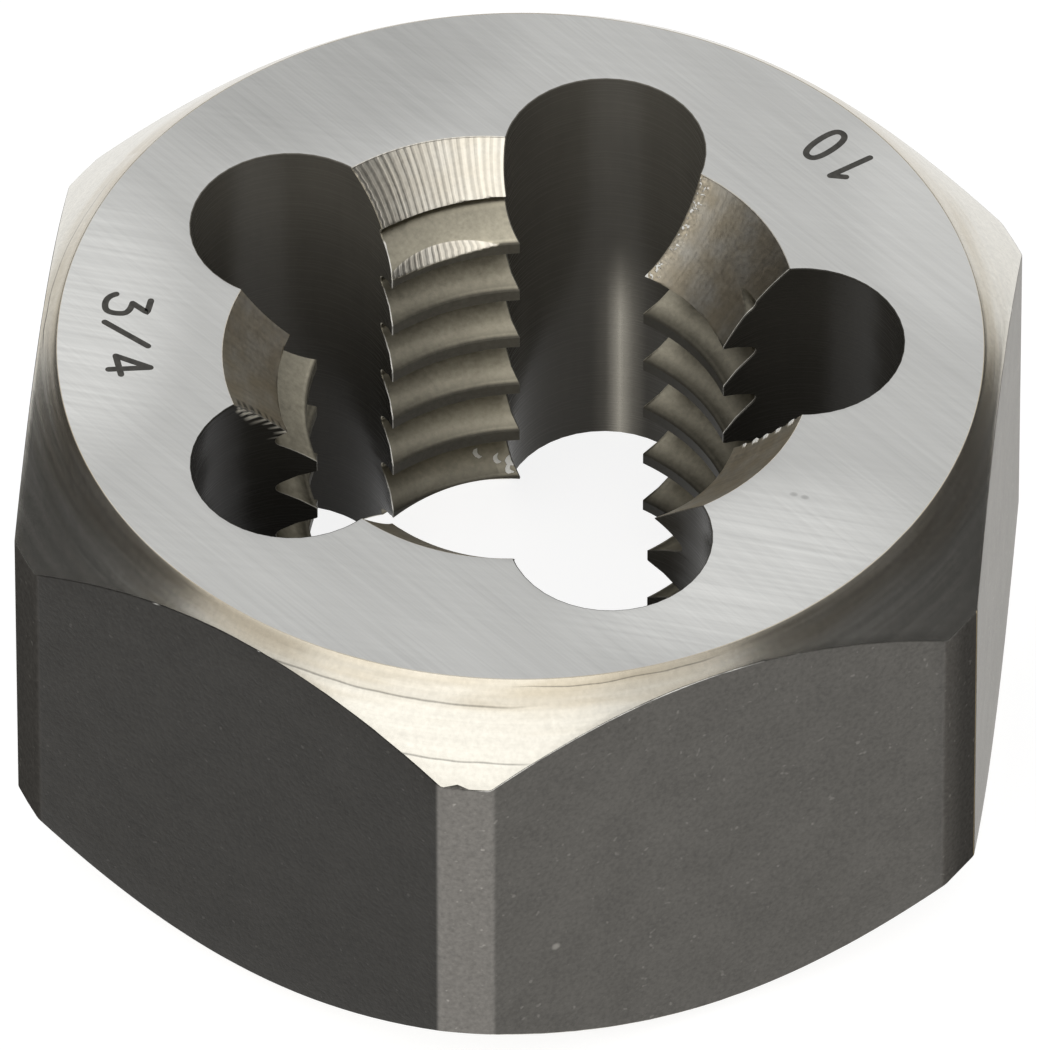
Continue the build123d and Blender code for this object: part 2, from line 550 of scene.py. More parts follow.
@dataclass
class OuterForm:
    """The outside of the die: hexagon flats, turned corners and the two chamfers."""

    sizes: DieSizes
    wear: EdgeWear
    corner_step: float = 0.3
    nicks: tuple[tuple[float, float, float], ...] = (
        (-66.1, 0.35, 0.14),
        (-70.5, 0.5, 0.05),
        (-60.9, 0.6, 0.15),
        (-46.1, 0.22, 0.12),
        (-24.5, 0.3, 0.06),
        (-12.0, 0.25, 0.05),
    )
    rubbed_middle: float = -42.0
    rubbed_half: float = 19.0
    curve_steps: tuple[float, ...] = (0.0, 0.33, 0.67, 1.0)
    run_rows: tuple[int, int, int] = (6, 8, 4)

    def column_angles(self, natural: np.ndarray) -> np.ndarray:
        """Angles of the columns on the outside.

        Formula: the natural angles, moved a little so that columns fall on both sides of every upright
        edge of the hexagon. The move fades linearly between one edge and the next.

        Args:
            natural: Rising angles in degrees over one turn.

        Returns:
            The moved angles, still rising.
        """
        s = self.sizes
        band = 30.0 - math.degrees(math.acos(s.across_flats / 2 / s.corner_radius))
        wanted, index = [], []
        for corner in range(0, 360, 60):
            for side in (-1, 1):
                edge = natural[0] + (corner + side * band - natural[0]) % 360.0
                near = int(np.argmin(np.abs(natural - edge)))
                near = min(max(near, 1), len(natural) - 2)
                for shift in (-1, 0, 1):
                    wanted.append(edge + shift * self.corner_step)
                    index.append(near + shift)
        order = np.argsort(index)
        index, wanted = np.array(index)[order], np.array(wanted)[order]
        move = np.interp(np.arange(len(natural)), index, wanted - natural[index])
        return natural + move

    def hexagon_radius(self, angle: np.ndarray) -> np.ndarray:
        """Distance from the axis to the side: a flat, or the turned corner where that is nearer."""
        s = self.sizes
        from_flat = np.radians((angle % 60.0) - 30.0)
        return smooth_min(s.across_flats / 2 / np.cos(from_flat), s.corner_radius, self.wear.upright)

    def edge_wear(self, angle: np.ndarray, top: bool) -> np.ndarray:
        """Set-back of the rounded edge between chamfer and side, with its nicks on the front edge."""
        worn = self.wear.hexagon * (1.0 + 0.35 * wander(angle, 5 if top else 6, 8, 0.12))
        if top:
            for centre, width, depth in self.nicks:
                worn = worn + depth * np.exp(-((away(angle, centre) / width) ** 2))
        return worn

    def shine(self, angle: np.ndarray) -> np.ndarray:
        """How bright the edge between chamfer and flat is rubbed: one long stretch, and specks elsewhere."""
        stretch = ease((self.rubbed_half - np.abs(away(angle, self.rubbed_middle))) / 5.0)
        stretch = stretch * (0.75 + 0.35 * wander(angle, 41, 6, 0.5))
        specks = ease((wander(angle, 43, 7, 2.0) - 0.7) / 0.3) * 0.6
        return np.clip(np.maximum(stretch, specks), 0.0, 1.0)

    def profile(self, angle: np.ndarray) -> tuple[np.ndarray, np.ndarray, np.ndarray, list[Zone]]:
        """The section from the front face's rim down to the back face's rim, for every column.

        Formula: straight runs between four corners, each corner replaced by a quadratic curve that starts
        and ends a set-back away from it: (1-t) squared A + 2t(1-t) C + t squared B.

        Args:
            angle: Column angles in degrees.

        Returns:
            Radii, heights and how bright the edges are, as rows by columns, and the zone below each row.
        """
        s, wear = self.sizes, self.wear
        side = self.hexagon_radius(angle)
        drop = side - s.face_radius
        rim = np.full_like(side, s.face_radius)
        corners = [
            (rim, np.full_like(side, s.thickness)),
            (side, s.thickness - drop),
            (side, drop),
            (rim, np.zeros_like(side)),
        ]
        face = np.full_like(side, wear.face)
        setback = [face, self.edge_wear(angle, True), self.edge_wear(angle, False), face]
        half = math.sqrt(0.5)
        ways = [(1.0, 0.0), (half, -half), (0.0, -1.0), (-half, -half), (-1.0, 0.0)]
        radii, heights, shines, zones = [], [], [], []
        none, rubbed = np.zeros_like(side), self.shine(angle)
        between = [Zone.TURNED_CHAMFER, Zone.HEX_FLAT, Zone.TURNED_CHAMFER]
        for n, ((cr, cz), back) in enumerate(zip(corners, setback)):
            by_flat = n in (1, 2)
            for t in self.curve_steps:
                into, out = (1 - t) ** 2 * back, t * t * back
                radii.append(cr - into * ways[n][0] + out * ways[n + 1][0])
                heights.append(cz - into * ways[n][1] + out * ways[n + 1][1])
                shines.append(rubbed if by_flat and 0.0 < t < 1.0 else none)
                zones.append(Zone.HEX_FLAT if by_flat and (t < 1.0 or n == 1) else Zone.TURNED_CHAMFER)
            if n < 3:
                start_r, start_z = radii[-1], heights[-1]
                next_r = corners[n + 1][0] - setback[n + 1] * ways[n + 1][0]
                next_z = corners[n + 1][1] - setback[n + 1] * ways[n + 1][1]
                for share in (np.arange(self.run_rows[n]) + 1.0) / (self.run_rows[n] + 1.0):
                    radii.append(start_r + (next_r - start_r) * share)
                    heights.append(start_z + (next_z - start_z) * share)
                    shines.append(none)
                    zones.append(between[n])
        return np.array(radii), np.array(heights), np.array(shines), zones


@dataclass
class DieSurface:
    """The one closed surface of the die, its zones, and the facts that its finishes read."""

    sizes: DieSizes = field(default_factory=DieSizes)
    wear: EdgeWear = field(default_factory=EdgeWear)
    face_shares: tuple[float, ...] = (0.08, 0.4, 0.75)
    face_sink: float = 0.004
    rim_glint: float = 0.5
    rim_turns: tuple[float, ...] = (22.5, 45.0, 67.5, 90.0)
    flat_half: float = 26.9

    def rim_rows(self, x: np.ndarray, y: np.ndarray, z: float, way: float) -> Grid:
        """Rows that round the edge from the inside surface to a face.

        Formula: each point moves out along the outline's normal by b (1 - cos a) while it rises by b sin
        a, for each turn a of the rim and an edge radius of b.

        Args:
            x: Outline's x in millimetres.
            y: Outline's y.
            z: Height of the outline.
            way: 1 to rise to the front face, -1 to sink to the back face.

        Returns:
            Arrays for x, y and z, with one row for each turn.
        """
        tx, ty = np.roll(x, -1) - np.roll(x, 1), np.roll(y, -1) - np.roll(y, 1)
        length = np.hypot(tx, ty)
        nx, ny = ty / length, -tx / length
        turn = np.radians(self.rim_turns)[:, None]
        out = self.wear.rim * (1.0 - np.cos(turn))
        rise = z + way * (self.wear.rim - self.face_sink) * np.sin(turn)
        return x + nx * out, y + ny * out, np.broadcast_to(rise, (len(turn), len(x)))

    def face_rows(self, x0: np.ndarray, y0: np.ndarray, x1: np.ndarray, y1: np.ndarray, z: float) -> Grid:
        """Rows across a face, on straight lines from the inside outline to the outside one."""
        share = np.array(self.face_shares)[:, None]
        return x0 + (x1 - x0) * share, y0 + (y1 - y0) * share, np.full((len(self.face_shares), len(x0)), z)

    def build(self) -> bpy.types.Object:
        """Makes the mesh of the die.

        Returns:
            The finished object, with each face's material index set by its zone.
        """
        inside, is_flute = BoreGrid(BoreForm(self.sizes, self.wear)).build()
        outer = OuterForm(self.sizes, self.wear)
        angle = outer.column_angles(inside["angle"][0])
        radii, heights, shines, zones = outer.profile(angle)
        top, low = self.sizes.thickness - self.face_sink, self.face_sink
        heights = np.clip(heights, low, top)
        out_x, out_y = polar(radii, angle)

        front = self.rim_rows(inside["x"][-1], inside["y"][-1], float(inside["z"][-1, 0]), 1.0)
        back = self.rim_rows(inside["x"][0], inside["y"][0], float(inside["z"][0, 0]), -1.0)
        front_face = self.face_rows(front[0][-1], front[1][-1], out_x[0], out_y[0], top)
        back_face = self.face_rows(out_x[-1], out_y[-1], back[0][-1], back[1][-1], low)
        bands = [
            (inside["x"], inside["y"], inside["z"]),
            front,
            front_face,
            (out_x, out_y, heights),
            back_face,
            tuple(a[::-1] for a in back),
        ]
        x, y, z = (np.concatenate([band[i] for band in bands], axis=0) for i in range(3))
        ends = np.cumsum([len(band[0]) for band in bands])
        bore, rim, _, outside, _, last_rim = (slice(a, b) for a, b in zip([0, *ends], ends))

        zone = np.full(x.shape, Zone.GROUND_FACE.value)
        inner = np.where(is_flute, Zone.FLUTE_WALL.value, Zone.CUT_LAND.value)
        zone[: rim.stop - 1] = inner
        zone[outside.start : outside.stop - 1] = np.array([kind.value for kind in zones[:-1]])[:, None]
        zone[last_rim] = inner

        facts = at_rest(x)
        for name, values in facts.items():
            values[bore], values[rim], values[last_rim] = inside[name], inside[name][-1], inside[name][0]
        facts["edge"][rim] = facts["edge"][last_rim] = self.rim_glint
        facts["edge"][outside] = shines
        flat = zone == Zone.GROUND_FACE.value
        in_flat = np.abs((angle % 60.0) - 30.0) < self.flat_half
        flat |= (zone == Zone.HEX_FLAT.value) & in_flat[None, :] & np.roll(in_flat, -1)[None, :]
        return closed_grid("die_body_surface", x, y, z, zone, flat, facts)


def closed_grid(
    name: str,
    x: np.ndarray,
    y: np.ndarray,
    z: np.ndarray,
    zone: np.ndarray,
    flat: np.ndarray,
    facts: dict[str, np.ndarray],
) -> bpy.types.Object:
    """A mesh of quads on a grid that closes on itself both ways, like a ring.

    Args:
        name: Name of the object.
        x: Rows by columns, in millimetres.
        y: The same for y.
        z: The same for z.
        zone: Material slot of the quad that starts at each point.
        flat: Whether that quad is shaded flat.
        facts: Values kept on the points, by name.

    Returns:
        The object, linked to the scene.
    """
    rows, columns = x.shape
    index = np.arange(rows * columns).reshape(rows, columns)
    right, up = np.roll(index, -1, axis=1), np.roll(index, -1, axis=0)
    quads = np.stack([index, right, np.roll(up, -1, axis=1), up], axis=-1).reshape(-1, 4)
    points = np.stack([x, y, z], axis=-1).reshape(-1, 3) * MM
    mesh = bpy.data.meshes.new(name)
    mesh.from_pydata(points.tolist(), [], quads[:, ::-1].tolist())
    mesh.polygons.foreach_set("material_index", zone.ravel().astype(np.int32))
    mesh.polygons.foreach_set("use_smooth", ~flat.ravel())
    for fact, values in facts.items():
        layer = mesh.attributes.new(fact, "FLOAT", "POINT")
        layer.data.foreach_set("value", values.ravel().astype(np.float32))
    mesh.update()
    mesh.set_sharp_from_angle(angle=SHARP_ANGLE)
    return placed(name, mesh)


# Shader maths and finishes


class Value:
    """One number of a shader. Each operator adds one Math node, so a finish is written as a sum."""

    def __init__(self, bench: Bench, socket: bpy.types.NodeSocket) -> None:
        """Keeps the bench that the nodes go to, and the socket that holds the number."""
        self.bench = bench
        self.socket = socket

    def math(self, operation: str, *others: Value | float, first: Value | float | None = None) -> Value:
        """Adds a Math node.

        Args:
            operation: Blender's name of the sum.
            others: The numbers after this one.
            first: A number to put before this one, for a reflected operator.

        Returns:
            The result.
        """
        terms = ([first] if first is not None else []) + [self, *others]
        return self.bench.value("ShaderNodeMath", {"operation": operation}, dict(enumerate(terms)))

    def __add__(self, other: Value | float) -> Value:
        """This number plus another."""
        return self.math("ADD", other)

    __radd__ = __add__

    def __mul__(self, other: Value | float) -> Value:
        """This number times another."""
        return self.math("MULTIPLY", other)

    __rmul__ = __mul__

    def __sub__(self, other: Value | float) -> Value:
        """This number less another."""
        return self.math("SUBTRACT", other)

    def __rsub__(self, other: float) -> Value:
        """Another number less this one."""
        return self.math("SUBTRACT", first=other)

    def __truediv__(self, other: Value | float) -> Value:
        """This number over another."""
        return self.math("DIVIDE", other)

    def __pow__(self, other: float) -> Value:
        """This number to a power."""
        return self.math("POWER", other)

    def __abs__(self) -> Value:
        """This number without its sign."""
        return self.math("ABSOLUTE")

    def sine(self) -> Value:
        """Sine of this number of radians."""
        return self.math("SINE")

    def rise(self, low: float, high: float) -> Value:
        """A smooth step from 0 at low to 1 at high, which may be the smaller of the two."""
        sockets = {"Value": self, "From Min": low, "From Max": high}
        return self.bench.value("ShaderNodeMapRange", {"interpolation_type": "SMOOTHSTEP"}, sockets)


class Bench:
    """A material or a world being put together: its shader, and the one way to add a node."""

    def __init__(
        self, made: bpy.types.Material | bpy.types.World, shader: str, constants: dict[str, object]
    ) -> None:
        """Finds the shader, and sets what is the same everywhere on the shader's own sockets."""
        made.use_nodes = True
        self.made = made
        self.tree = made.node_tree
        self.shader = self.tree.nodes[shader]
        for socket, constant in constants.items():
            self.shader.inputs[socket].default_value = constant

    @classmethod
    def metal(cls, name: str, specular: float = 0.5, metallic: float = 1.0) -> Bench:
        """A bench for a bare metal, the base of every finish of the die."""
        constants = {"Metallic": metallic, "Specular IOR Level": specular}
        return cls(bpy.data.materials.new(name), "Principled BSDF", constants)

    def node(self, kind: str, settings: dict | None = None, sockets: dict | None = None) -> bpy.types.Node:
        """Adds a node.

        Args:
            kind: The node's type.
            settings: Its properties, set before its sockets. "stops" holds a ramp's places and colours.
            sockets: Numbers, colours, values or sockets for its inputs, by name or number.

        Returns:
            The node.
        """
        node = self.tree.nodes.new(kind)
        for name, setting in (settings or {}).items():
            if name == "stops":
                self.fill_ramp(node.color_ramp, setting)
            else:
                setattr(node, name, setting)
        for name, given in (sockets or {}).items():
            self.feed(node.inputs[name], given)
        return node

    def fill_ramp(self, ramp: bpy.types.ColorRamp, stops: list[tuple[float, float]]) -> None:
        """Gives a ramp its stops, each a place and a grey level, held constant from one to the next."""
        ramp.interpolation = "CONSTANT"
        while len(ramp.elements) < len(stops):
            ramp.elements.new(0.5)
        for element, (place, level) in zip(ramp.elements, stops):
            element.position = place
            element.color = (level, level, level, 1.0)

    def feed(self, socket: bpy.types.NodeSocket, given: object) -> None:
        """Links a value or a socket to an input, or sets the input's own number."""
        if isinstance(given, Value):
            given = given.socket
        if isinstance(given, bpy.types.NodeSocket):
            self.tree.links.new(given, socket)
        else:
            socket.default_value = given

    def value(
        self, kind: str, settings: dict | None = None, sockets: dict | None = None, output: int | str = 0
    ) -> Value:
        """Adds a node and returns one of its outputs as a number to reckon with."""
        return Value(self, self.node(kind, settings, sockets).outputs[output])

    def fact(self, name: str) -> Value:
        """A value that the mesh keeps on its points."""
        return self.value("ShaderNodeAttribute", {"attribute_name": name}, output="Fac")

    def split(self, coordinates: str) -> tuple[Value, ...]:
        """The three numbers of one of the kinds of texture coordinates."""
        vector = self.node("ShaderNodeTexCoord").outputs[coordinates]
        parts = self.node("ShaderNodeSeparateXYZ", sockets={0: vector}).outputs
        return tuple(Value(self, part) for part in parts)

    def place(self) -> tuple[Value, ...]:
        """The point's own coordinates, in millimetres."""
        return tuple(part * 1000.0 for part in self.split("Object"))

    def vector(self, x: Value | float, y: Value | float, z: Value | float = 0.0) -> bpy.types.NodeSocket:
        """Three numbers as a vector."""
        return self.node("ShaderNodeCombineXYZ", sockets={0: x, 1: y, 2: z}).outputs[0]

    def around(self, x: Value, y: Value) -> tuple[Value, Value]:
        """The point's distance from the axis in millimetres, and its angle round it in radians."""
        return (x * x + y * y) ** 0.5, y.math("ARCTAN2", x)

    def noise(
        self, vector: bpy.types.NodeSocket, scale: float, detail: float = 2.0, rough: float = 0.5
    ) -> Value:
        """Noise between about -1 and 1, over a vector."""
        sockets = {"Vector": vector, "Scale": scale, "Detail": detail, "Roughness": rough}
        return (self.value("ShaderNodeTexNoise", sockets=sockets) - 0.5) * 3.2

    def streaks(
        self, angle: float, length: float, width: float, seed: float = 0.0, detail: float = 2.0
    ) -> Value:
        """Noise drawn out along one direction of the faces.

        Args:
            angle: Direction of the streaks in degrees.
            length: Size of a streak in millimetres along its direction.
            width: Size across it.
            seed: Shifts the pattern.
            detail: How many finer layers it has.

        Returns:
            Noise between about -1 and 1.
        """
        coordinates = self.node("ShaderNodeTexCoord").outputs["Object"]
        sockets = {
            "Vector": coordinates,
            "Location": (seed * MM, seed * 1.7 * MM, 0.0),
            "Rotation": (0.0, 0.0, math.radians(angle)),
            "Scale": (length * MM, width * MM, 10.0 * MM),
        }
        turned = self.node("ShaderNodeMapping", {"vector_type": "TEXTURE"}, sockets).outputs[0]
        return self.noise(turned, 1.0, detail)

    def spot(
        self, x: Value, y: Value, centre: tuple[float, float], reach: tuple[float, float], turn: float
    ) -> Value:
        """A soft oval spot: 1 in its middle and 0 at its rim.

        Args:
            x: The point's x in millimetres.
            y: The point's y.
            centre: Middle of the spot.
            reach: Its half length and half width.
            turn: Direction of its length in degrees.

        Returns:
            The spot's strength.
        """
        c, s = math.cos(math.radians(turn)), math.sin(math.radians(turn))
        dx, dy = x - centre[0], y - centre[1]
        along, off = (dx * c + dy * s) / reach[0], (dy * c - dx * s) / reach[1]
        return (along * along + off * off).rise(1.0, 0.0)

    def ball(self, place: tuple[Value, ...], centre: Sequence[float], reach: float) -> Value:
        """A soft ball: 1 at its centre and 0 at its reach, both in millimetres."""
        x, y, z = (here - there for here, there in zip(place, centre))
        return (x * x + y * y + z * z).rise(reach * reach, 0.0)

    def turned(self, x: Value, y: Value, angle: float) -> Value:
        """Cosine of the angle between the point's direction from the axis and an angle in degrees."""
        c, s = math.cos(math.radians(angle)), math.sin(math.radians(angle))
        return (x * c + y * s) / (x * x + y * y) ** 0.5

    def tint(self, colour: object, tone: Value | float) -> bpy.types.NodeSocket:
        """A colour times a number, in a Vector Math node."""
        scaled = self.node("ShaderNodeVectorMath", {"operation": "SCALE"}, {0: colour, "Scale": tone})
        return scaled.outputs[0]

    def mix(self, share: Value, first: object, second: object) -> bpy.types.NodeSocket:
        """A mix of two colours: the first where the share is 0, the second where it is 1."""
        node = self.node("ShaderNodeMix", {"data_type": "RGBA"}, {"Factor": share})
        colours = [i for i in node.inputs if i.type == "RGBA"]
        for socket, colour in zip(colours, (first, second)):
            self.feed(socket, (*colour, 1.0) if isinstance(colour, tuple) else colour)
        return [o for o in node.outputs if o.type == "RGBA"][0]

    def finish(
        self, colour: object, rough: Value | None, height: Value | None = None, depth: float = 0.0
    ) -> bpy.types.Material:
        """Links the shader's inputs and returns the material.

        Args:
            colour: Base colour.
            rough: Roughness, where it changes over the surface.
            height: Height of the relief, from about -1 to 1.
            depth: What a height of 1 stands for, in millimetres.

        Returns:
            The material.
        """
        self.feed(self.shader.inputs["Base Color"], colour)
        if rough is not None:
            self.feed(self.shader.inputs["Roughness"], rough)
        if height is not None:
            sockets = {"Strength": 1.0, "Distance": depth * MM, "Height": height}
            bump = self.node("ShaderNodeBump", sockets=sockets)
            self.feed(self.shader.inputs["Normal"], bump.outputs[0])
        return self.made


@dataclass(frozen=True)
class GroundSteel:
    """The ground front and back faces: light grey, with fine lines from the wheel in two directions."""

    colour: Colour = (0.53, 0.53, 0.515)
    line_angle: float = -11.5
    cross_angle: float = 22.0
    dots: Pairs = ((12.89, -0.42), (13.32, -0.3))
    dot_reach: tuple[float, float] = (0.2, 0.14)
    sweeps: tuple[tuple[tuple[float, float], tuple[float, float], float, float], ...] = (
        ((-14.3, -9.0), (9.0, 5.0), 120.0, 0.3),
        ((13.5, -4.5), (8.5, 5.0), 60.0, 0.26),
        ((9.0, 14.0), (7.0, 3.5), 145.0, 0.14),
        ((-14.0, 7.5), (9.0, 5.0), 60.0, -0.16),
    )

    def material(self) -> bpy.types.Material:
        """Makes the finish: line patterns and a few brighter sweeps lighten and darken one grey."""
        b = Bench.metal("ground_steel")
        x, y, _ = b.place()
        fine = b.streaks(self.line_angle, 5.0, 0.07, 3.0)
        lines = b.streaks(self.line_angle, 12.0, 0.28, 9.0, 3.0)
        cross = b.streaks(self.cross_angle, 9.0, 0.2, 21.0)
        clouds = b.streaks(self.line_angle, 9.0, 4.0, 33.0)
        spots = [b.spot(x, y, *place) for *place, _ in self.sweeps]
        swept = spots[0] + spots[1]
        tone = 1.0 + 0.05 * fine + 0.07 * lines + cross * (0.03 + 0.12 * swept) + 0.05 * clouds
        for spot, (*_, strength) in zip(spots, self.sweeps):
            tone = tone + strength * spot
        for dot in self.dots:
            tone = tone - 0.3 * b.spot(x, y, dot, self.dot_reach, 20.0)
        return b.finish(b.tint(self.colour, tone), 0.34 + 0.03 * lines - 0.03 * fine, fine + lines, 0.0006)


@dataclass(frozen=True)
class TurnedSteel:
    """The turned chamfers: bright and slightly warm, nearly smooth, with a few thin lines from the tool."""

    colour: Colour = (0.66, 0.64, 0.585)
    stain: Colour = (0.5, 0.45, 0.36)
    scores: tuple[tuple[float, float, float, float], ...] = (
        (18.15, 287.0, 22.0, 0.05),
        (19.63, 299.0, 9.0, 0.045),
        (17.62, 318.0, 14.0, 0.03),
        (18.5, 110.0, 30.0, 0.04),
        (17.9, 200.0, 18.0, 0.03),
    )
    stained_reach: tuple[float, float] = (19.4, 17.4)

    def material(self) -> bpy.types.Material:
        """Makes the finish: faint rings by the distance from the axis, and each score a thin dark arc."""
        b = Bench.metal("turned_steel")
        x, y, z = b.place()
        reach, spin = b.around(x, y)
        rings = b.noise(b.vector(reach * 6.0, spin * 1.2, z * 0.2), 1.0, 3.0)
        grain = b.noise(b.vector(x, y, z), 5.0, 3.0)
        wobble = 0.05 * b.noise(b.vector(x, y, z), 0.5, 1.0)
        scored = 0.0
        for radius, middle, half, width in self.scores:
            turned = b.turned(x, y, middle)
            across = abs(reach + wobble - radius).rise(width, 0.0)
            along = turned.rise(math.cos(math.radians(half)), math.cos(math.radians(half * 0.6)))
            scored = across * along + scored
        patches = b.noise(b.vector(reach * 1.8, spin * 3.0, z * 0.05), 1.0, 2.0)
        stained = (0.5 * patches + reach.rise(*self.stained_reach)).rise(0.1, 1.4)
        tone = 1.0 + 0.08 * rings + 0.09 * grain - 0.5 * scored
        colour = b.mix(stained, b.tint(self.colour, tone), b.tint(self.stain, tone))
        return b.finish(colour, 0.23 + 0.02 * rings, rings + 0.3 * grain - 3.0 * scored, 0.001)


@dataclass(frozen=True)
class DarkFlat:
    """The six flats: matte and nearly black from the heat, each in its own tone, with lighter corners; one
    flat carries a painted reflection.
    """

    colour: Colour = (0.085, 0.081, 0.074)
    corner_colour: Colour = (0.19, 0.18, 0.165)
    rubbed_colour: Colour = (0.85, 0.83, 0.78)
    # One tone for each sixth of a turn from 0 degrees. The first, 3.2, paints onto that flat the reflection
    # it shows at a grazing angle.
    tones: tuple[float, ...] = (3.2, 0.9, 0.8, 0.85, 0.56, 1.44)
    corner_tones: tuple[float, ...] = (0.63, 0.7, 0.8, 0.6, 0.52, 1.05)
    scaled_corners: tuple[float, ...] = (1.0, 0.0, 0.0, 0.0, 1.0, 0.0)
    specular: float = 0.0
    corner_from: float = 20.26
    shaded_reach: tuple[float, float] = (20.0, 20.35)
    shaded_x: tuple[float, float] = (15.0, 18.0)
    shaded_y: tuple[float, float] = (0.3, -0.3)
    right_x: tuple[float, float] = (18.0, 19.0)
    # Painted light: the right corner band grows lighter along this span of y.
    band_light_y: tuple[float, float] = (0.3, -0.95)
    scratch: tuple[float, float, float] = (12.33, -14.85, 6.64)
    scratch_reach: float = 0.22
    golden: Colour = (0.85, 0.68, 0.4)
    golden_y: float = 0.93
    golden_half: float = 0.07

    def by_sixth(self, b: Bench, share: Value, tones: tuple[float, ...]) -> Value:
        """Picks one tone for each sixth of a turn."""
        top = max(tones)
        stops = [(n / 6.0, tone / top) for n, tone in enumerate(tones)]
        return b.value("ShaderNodeValToRGB", {"stops": stops}, {0: share}) * top

    def material(self) -> bpy.types.Material:
        """Makes the finish: a tone for each flat, grain, small light specks, lighter turned corners, and
        painted light and shade by the right corner.
        """
        b = Bench.metal("dark_flat", self.specular)
        place = b.place()
        x, y, z = place
        reach, spin = b.around(x, y)
        share = spin / (2.0 * math.pi) + 1.0
        each = self.by_sixth(b, share.math("FRACT"), self.tones)
        sixth = (share + 1.0 / 12.0).math("FRACT")
        corner_each = self.by_sixth(b, sixth, self.corner_tones)
        scaled = self.by_sixth(b, sixth, self.scaled_corners)
        here = b.vector(x, y, z)
        grain = b.noise(here, 5.5, 3.0, 0.6)
        cloud = b.noise(here, 0.5, 3.0)
        specks = b.noise(here, 3.2, 1.0).rise(0.62, 0.95)
        corner = reach.rise(self.corner_from, self.corner_from + 0.1)
        shade = reach.rise(*self.shaded_reach) * x.rise(*self.shaded_x) * y.rise(*self.shaded_y)
        scratched = b.ball(place, self.scratch, self.scratch_reach)
        pattern = 1.0 + 0.3 * grain + 0.1 * cloud + 0.6 * specks + 1.2 * scratched
        tone = each * pattern * (1.0 - 0.12 * shade)
        at_right = x.rise(*self.right_x)
        # Painted light along the right corner band, up to 1.6 times lighter towards negative y.
        band_light_ramp = 1.0 + 0.6 * at_right * y.rise(*self.band_light_y)
        lighter = corner_each * band_light_ramp * (1.0 + 0.3 * grain + 0.8 * specks)
        colour = b.mix(corner, b.tint(self.colour, tone), b.tint(self.corner_colour, lighter))
        line = abs(y - self.golden_y).rise(self.golden_half, 0.0) * at_right
        colour = b.mix(0.8 * line, colour, b.tint(self.golden, 1.0 + 0.2 * grain))
        rubbed = b.fact("edge").rise(0.3, 0.75)
        colour = b.mix(rubbed, colour, b.tint(self.rubbed_colour, 1.0 + 0.2 * grain))
        b.feed(b.shader.inputs["Metallic"], 1.0 - scaled * corner)
        rough = 0.5 + 0.06 * grain - 0.1 * corner - 0.1 * rubbed
        return b.finish(colour, rough, grain + specks, 0.008)


@dataclass(frozen=True)
class FluteSteel:
    """The walls of the chip flutes: dark from the heat, with fine upright lines and painted light and shade.
    """

    colour: Colour = (0.132, 0.124, 0.106)
    torn_colour: Colour = (0.8, 0.76, 0.66)
    specular: float = 0.12
    rings: float = 14.0

    def material(self) -> bpy.types.Material:
        """Makes the finish: fine rings from the reamer, a few upright lines, torn strokes, and a painted
        reflection.
        """
        b = Bench.metal("flute_steel", self.specular)
        x, y, z = b.place()
        # Along one stripe the wall turns metallic and its tone triples: a painted reflection of the floor.
        floor_reflection = b.fact("floor_reflection")
        b.feed(b.shader.inputs["Metallic"], floor_reflection * 0.8 + 0.03)
        rings = b.noise(b.vector(x * 0.3, y * 0.3, z * self.rings), 1.0, 2.0)
        lines = b.noise(b.vector(x * 5.0, y * 5.0, z * 0.25), 1.0, 2.0)
        cloud = b.noise(b.vector(x, y, z * 0.5), 0.6, 2.0)
        # The tone fact paints light and shade on each flute's wall.
        tone = b.fact("tone") * (1.0 + 2.0 * floor_reflection) * (1.0 + 0.04 * lines + 0.08 * cloud + 0.06 * rings)
        colour = b.mix(b.fact("torn"), b.tint(self.colour, tone), self.torn_colour)
        return b.finish(colour, 0.27 + 0.02 * rings, rings, 0.0012)


